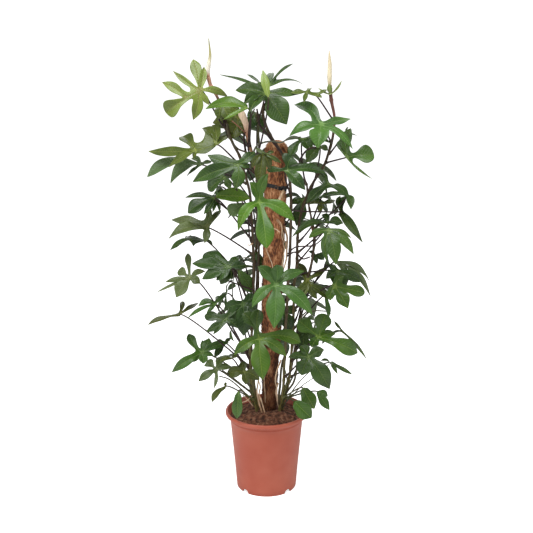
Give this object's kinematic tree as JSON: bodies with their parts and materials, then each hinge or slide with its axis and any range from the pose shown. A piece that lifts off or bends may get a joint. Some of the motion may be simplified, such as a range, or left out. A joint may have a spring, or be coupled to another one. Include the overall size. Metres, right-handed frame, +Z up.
{
  "type": "potted philodendron",
  "caption": "Climbing philodendron with deeply lobed leaves on long stalks, its vines tied to a coir-covered pole, growing in a tapered plastic nursery pot.",
  "frame": {"origin": "under the middle of the whole plant's bounding box, on the surface that the pot stands on", "axes": "+Z up, +X to the right and -Y towards the viewer of the plant's front; the pot's axis stands at X = 0.025"},
  "size_m": [0.6427, 0.511, 1.3261],
  "materials": {
    "pot_plastic": "satin",
    "potting_mix": "matte",
    "coir": "matte",
    "timber": "matte",
    "tie_plastic": "satin",
    "vine_bark": "satin",
    "sheath": "satin",
    "aerial_root": "matte",
    "leaf_dark": "satin",
    "leaf_mid": "satin",
    "leaf_young": "satin"
  },
  "bodies": {
    "root": {"pot": "pot_plastic", "soil": "potting_mix", "coir_pole": "coir", "pole_stake": "timber", "pole_tie": "tie_plastic", "vine_left_tall": "vine_bark", "vine_left_inner": "vine_bark", "vine_left_back": "vine_bark", "vine_crown": "vine_bark", "vine_right_tall": "vine_bark", "vine_right_outer": "vine_bark", "vine_back": "vine_bark", "sheath_left": "sheath", "sheath_middle": "sheath", "sheath_right": "sheath", "root_long": "aerial_root", "root_front": "aerial_root", "root_low": "aerial_root", "leaf_01": "leaf_young", "leaf_02": "leaf_mid", "leaf_03": "leaf_dark", "leaf_04": "leaf_young", "leaf_05": "leaf_mid", "leaf_06": "leaf_dark", "leaf_07": "leaf_young", "leaf_08": "leaf_mid", "leaf_09": "leaf_dark", "leaf_10": "leaf_dark", "leaf_11": "leaf_dark", "leaf_12": "leaf_mid", "leaf_13": "leaf_mid", "leaf_14": "leaf_mid", "leaf_15": "leaf_dark", "leaf_16": "leaf_mid", "leaf_17": "leaf_mid", "leaf_18": "leaf_mid", "leaf_19": "leaf_mid", "leaf_20": "leaf_mid", "leaf_21": "leaf_mid", "leaf_22": "leaf_mid", "leaf_23": "leaf_dark", "leaf_24": "leaf_dark", "leaf_25": "leaf_dark", "leaf_26": "leaf_mid", "leaf_27": "leaf_dark", "leaf_28": "leaf_mid", "leaf_29": "leaf_mid", "leaf_30": "leaf_dark", "leaf_31": "leaf_dark", "leaf_32": "leaf_mid", "leaf_33": "leaf_mid", "leaf_34": "leaf_mid", "leaf_35": "leaf_mid", "leaf_36": "leaf_mid", "leaf_37": "leaf_mid", "leaf_back_1": "leaf_mid", "leaf_back_2": "leaf_mid", "leaf_back_3": "leaf_dark", "leaf_back_4": "leaf_mid"}
  },
  "joints": []
}
